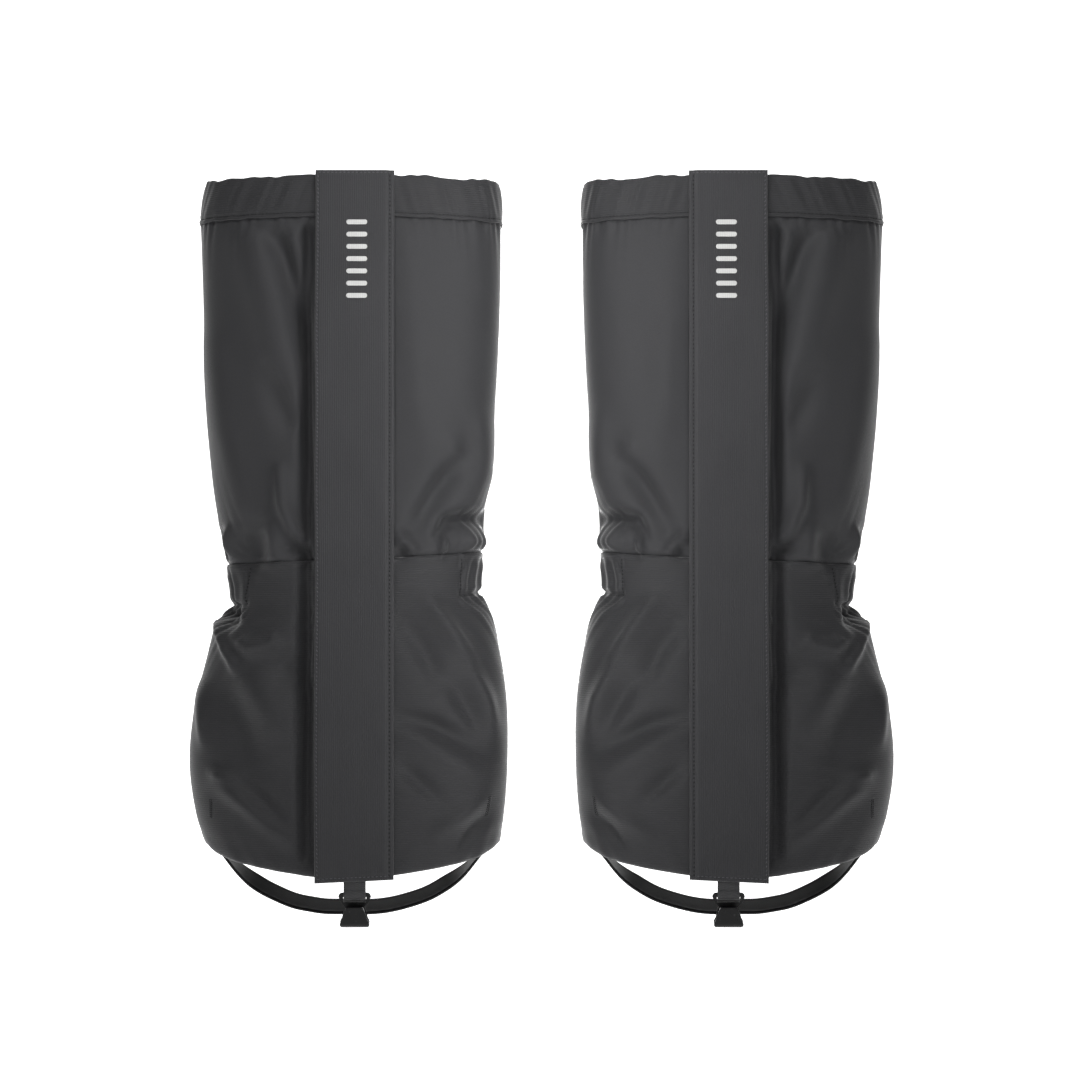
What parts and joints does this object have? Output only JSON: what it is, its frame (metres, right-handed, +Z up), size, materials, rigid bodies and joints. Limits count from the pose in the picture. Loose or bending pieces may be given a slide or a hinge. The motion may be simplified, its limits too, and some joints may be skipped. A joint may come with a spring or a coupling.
{
  "type": "gaiters",
  "caption": "Knee-high fabric gaiters with an elastic ankle, a full-length front closure flap, a lace hook and an instep strap on each.",
  "frame": {"origin": "on the level of the lace hooks' lowest point, under the middle of the pair's outline", "axes": "+Z up the leg, -Y out of the shins, +X towards the wearer's left, which is the right-hand gaiter seen from the front"},
  "size_m": [0.4402, 0.1118, 0.4667],
  "materials": {
    "upper_fabric": "plain fine woven shell fabric, matte with a faint sheen",
    "lower_fabric": "tough ribbed woven fabric, ribs across",
    "flap_fabric": "tough ribbed woven fabric, ribs up the leg",
    "tape": "thin smooth tape",
    "closure_tape": "hook and loop closure tape",
    "elastic": "knitted flat elastic",
    "webbing": "close woven webbing",
    "hook_metal": "black satin coating"
  },
  "bodies": {
    "left_gaiter": {"left_upper_outer_panel": "upper_fabric", "left_upper_inner_panel": "upper_fabric", "left_lower_outer_panel": "lower_fabric", "left_lower_inner_panel": "lower_fabric", "left_top_casing_outer": "lower_fabric", "left_top_casing_inner": "lower_fabric", "left_top_elastic": "elastic", "left_ankle_elastic": "elastic", "left_ankle_casing": "tape", "left_back_seam_tape": "tape", "left_loop_tape": "closure_tape", "left_flap_seam_binding": "lower_fabric", "left_hook_tab": "webbing", "left_strap_anchor_outer": "webbing", "left_strap_anchor_inner": "webbing"},
    "left_flap": {"left_front_flap": "flap_fabric", "left_flap_hook_tape": "closure_tape"},
    "left_hook": {"left_lace_hook": "hook_metal"},
    "left_strap": {"left_instep_strap": "webbing"},
    "right_gaiter": {"right_upper_outer_panel": "upper_fabric", "right_upper_inner_panel": "upper_fabric", "right_lower_outer_panel": "lower_fabric", "right_lower_inner_panel": "lower_fabric", "right_top_casing_outer": "lower_fabric", "right_top_casing_inner": "lower_fabric", "right_top_elastic": "elastic", "right_ankle_elastic": "elastic", "right_ankle_casing": "tape", "right_back_seam_tape": "tape", "right_loop_tape": "closure_tape", "right_flap_seam_binding": "lower_fabric", "right_hook_tab": "webbing", "right_strap_anchor_outer": "webbing", "right_strap_anchor_inner": "webbing"},
    "right_flap": {"right_front_flap": "flap_fabric", "right_flap_hook_tape": "closure_tape"},
    "right_hook": {"right_lace_hook": "hook_metal"},
    "right_strap": {"right_instep_strap": "webbing"}
  },
  "joints": [
    {"name": "right_gaiter_slide", "type": "slide", "parent": "left_gaiter", "child": "right_gaiter", "axis": [1, 0, 0], "range_m": [0, 0.15]},
    {"name": "left_flap_hinge", "type": "hinge", "parent": "left_gaiter", "child": "left_flap", "pos_m": [-0.0928, -0.05117, 0.02822], "axis": [0, 0.0371, 0.9993], "range_deg": [0, 170]},
    {"name": "left_hook_hinge", "type": "hinge", "parent": "left_gaiter", "child": "left_hook", "pos_m": [-0.1149, -0.04962, 0.02002], "axis": [1, 0, 0], "range_deg": [-100, 30]},
    {"name": "left_strap_hinge", "type": "hinge", "parent": "left_gaiter", "child": "left_strap", "pos_m": [-0.1196, 0.00293, 0.05022], "axis": [1, 0, 0], "range_deg": [-20, 60]},
    {"name": "right_flap_hinge", "type": "hinge", "parent": "right_gaiter", "child": "right_flap", "pos_m": [0.0928, -0.05117, 0.02822], "axis": [0, -0.0371, -0.9993], "range_deg": [0, 170]},
    {"name": "right_hook_hinge", "type": "hinge", "parent": "right_gaiter", "child": "right_hook", "pos_m": [0.1149, -0.04962, 0.02002], "axis": [1, 0, 0], "range_deg": [-100, 30]},
    {"name": "right_strap_hinge", "type": "hinge", "parent": "right_gaiter", "child": "right_strap", "pos_m": [0.1196, 0.00293, 0.05022], "axis": [1, 0, 0], "range_deg": [-20, 60]}
  ]
}
